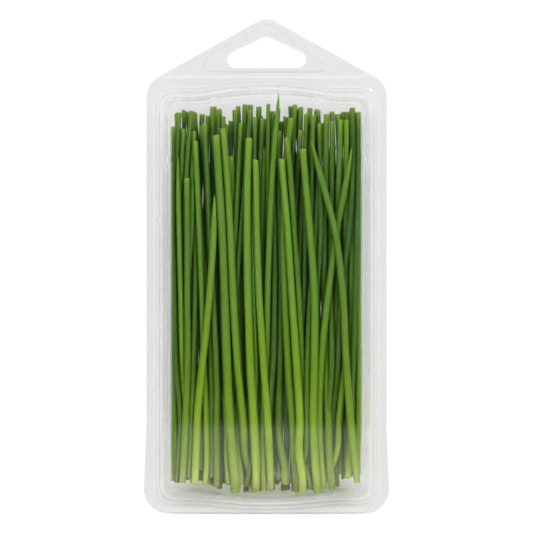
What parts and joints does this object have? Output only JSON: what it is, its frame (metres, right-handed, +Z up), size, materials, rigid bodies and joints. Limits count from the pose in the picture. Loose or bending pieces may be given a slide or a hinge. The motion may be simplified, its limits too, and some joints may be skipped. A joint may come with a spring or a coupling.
{
  "type": "chive bunch in a clear clamshell pack",
  "caption": "Bunch of fresh cut chives lying in a clear thermoformed clamshell: deep tray, hinged plug-fit lid with snap knobs, house-shaped hang tab with a triangular hole.",
  "frame": {"origin": "on the surface that the pack lies on, under the middle of its outline", "axes": "+Y along the pack and the chives, from the hinge at their cut bases to the hang tab; +Z up, out of the lid; +X across the pack"},
  "size_m": [0.1054, 0.2122, 0.0225],
  "materials": {
    "clear_sheet": "clear, glossy thermoformed sheet with soft, rounded folds and faint forming lines",
    "chive_leaf": "smooth fresh leaf with a thin waxy bloom, fine lengthwise ribs, paler yellow-green towards the cut base and at the cut ends"
  },
  "bodies": {
    "base": {"tray": "clear_sheet", "shoot_01": "chive_leaf", "shoot_02": "chive_leaf", "shoot_03": "chive_leaf", "shoot_04": "chive_leaf", "shoot_05": "chive_leaf", "shoot_06": "chive_leaf", "shoot_07": "chive_leaf", "shoot_08": "chive_leaf", "shoot_09": "chive_leaf", "shoot_10": "chive_leaf", "shoot_11": "chive_leaf", "shoot_12": "chive_leaf", "shoot_13": "chive_leaf", "shoot_14": "chive_leaf", "shoot_15": "chive_leaf", "shoot_16": "chive_leaf", "shoot_17": "chive_leaf", "shoot_18": "chive_leaf", "shoot_19": "chive_leaf", "shoot_20": "chive_leaf", "shoot_21": "chive_leaf", "shoot_22": "chive_leaf", "shoot_23": "chive_leaf", "shoot_24": "chive_leaf", "shoot_25": "chive_leaf", "shoot_26": "chive_leaf", "shoot_27": "chive_leaf", "shoot_28": "chive_leaf", "shoot_29": "chive_leaf", "shoot_30": "chive_leaf", "shoot_31": "chive_leaf", "shoot_32": "chive_leaf", "shoot_33": "chive_leaf", "shoot_34": "chive_leaf", "shoot_35": "chive_leaf", "shoot_36": "chive_leaf", "shoot_37": "chive_leaf", "shoot_38": "chive_leaf", "shoot_39": "chive_leaf", "shoot_40": "chive_leaf", "shoot_41": "chive_leaf", "shoot_42": "chive_leaf", "shoot_43": "chive_leaf", "shoot_44": "chive_leaf", "shoot_45": "chive_leaf", "shoot_46": "chive_leaf", "shoot_47": "chive_leaf", "shoot_48": "chive_leaf", "shoot_49": "chive_leaf", "shoot_50": "chive_leaf"},
    "lid": {"lid": "clear_sheet"}
  },
  "joints": [
    {"name": "lid_hinge", "type": "hinge", "parent": "base", "child": "lid", "pos_m": [0, -0.1061, 0.01895], "axis": [1, 0, 0], "range_deg": [0, 180]}
  ]
}
